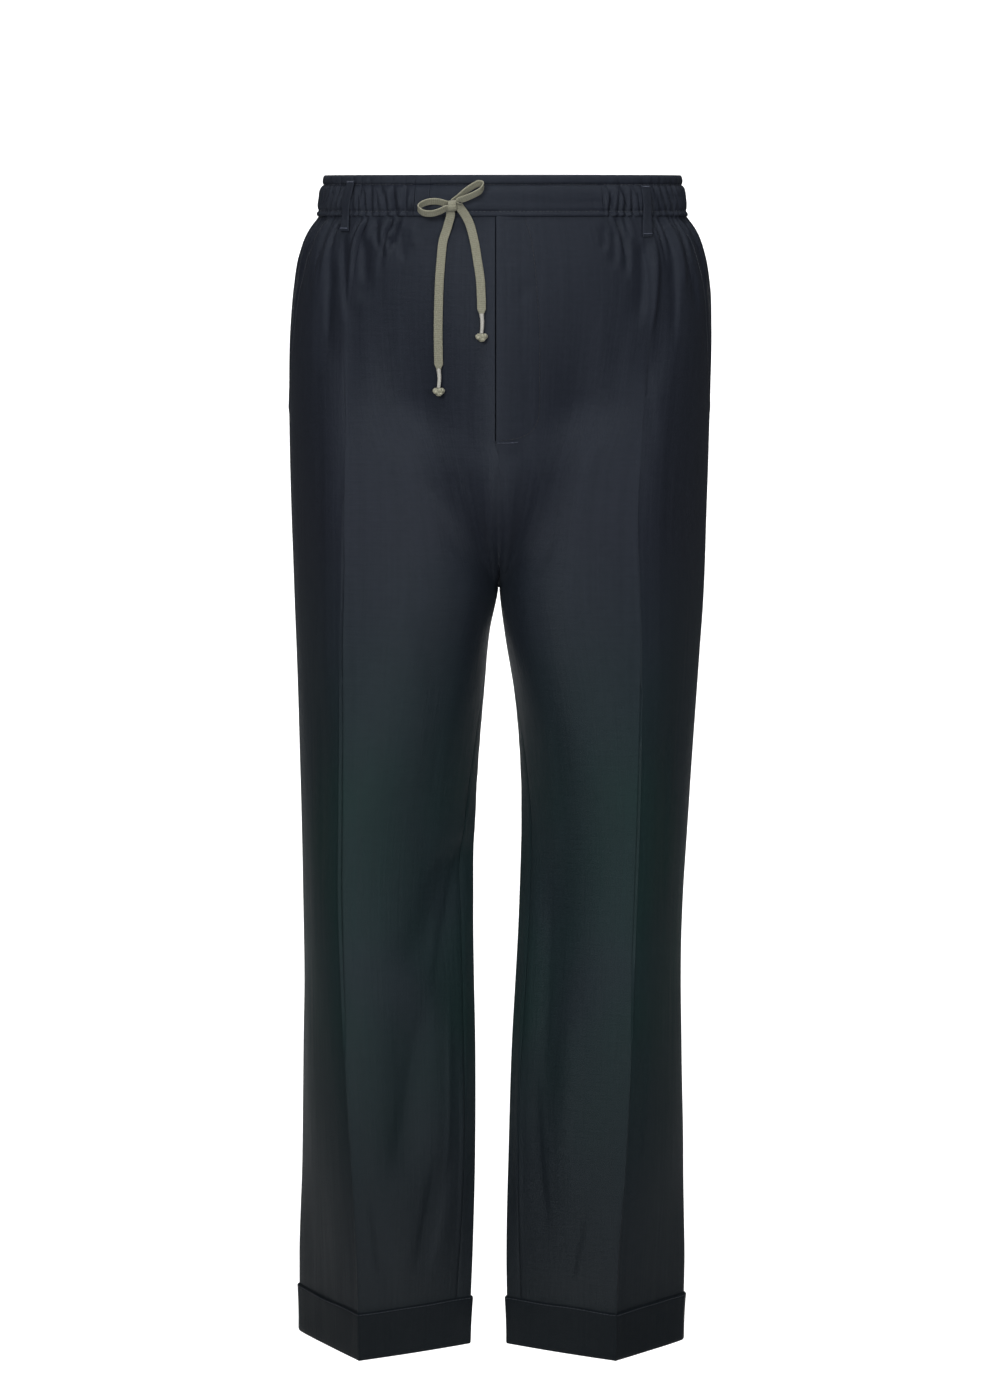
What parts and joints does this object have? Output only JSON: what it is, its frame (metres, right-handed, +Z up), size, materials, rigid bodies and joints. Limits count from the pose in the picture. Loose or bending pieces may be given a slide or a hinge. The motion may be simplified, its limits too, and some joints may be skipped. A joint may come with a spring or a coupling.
{
  "type": "drawstring trousers",
  "caption": "Full-length straight-leg drawstring trousers with a gathered elastic waistband, flat fly front, slanted pockets, belt loops and turned-up hems.",
  "frame": {"origin": "middle of the waist opening, level with the top edge of the waistband, where the wearer's waist holds the trousers", "axes": "+Z up along the body, -Y out of the front, +X towards the wearer's left"},
  "size_m": [0.3634, 0.2464, 1.0201],
  "materials": {
    "main_cloth": "dark navy twill with a soft silky sheen",
    "braid": "matt khaki flat braid"
  },
  "bodies": {
    "root": {"front_right": "main_cloth", "front_left": "main_cloth", "back_right": "main_cloth", "back_left": "main_cloth", "pocket_facing_right": "main_cloth", "pocket_facing_left": "main_cloth", "waistband_back": "main_cloth", "waistband_front_right": "main_cloth", "waistband_front_left": "main_cloth", "belt_loop_front_right": "main_cloth", "belt_loop_front_left": "main_cloth", "belt_loop_back_right": "main_cloth", "belt_loop_back_left": "main_cloth", "belt_loop_centre_back": "main_cloth", "cuff_right": "main_cloth", "cuff_left": "main_cloth", "bow_knot": "braid", "loop_right": "braid", "loop_left": "braid", "tail_right": "braid", "tail_left": "braid", "whipping_right": "braid", "whipping_left": "braid", "end_knot_right": "braid", "end_knot_left": "braid"}
  },
  "joints": []
}
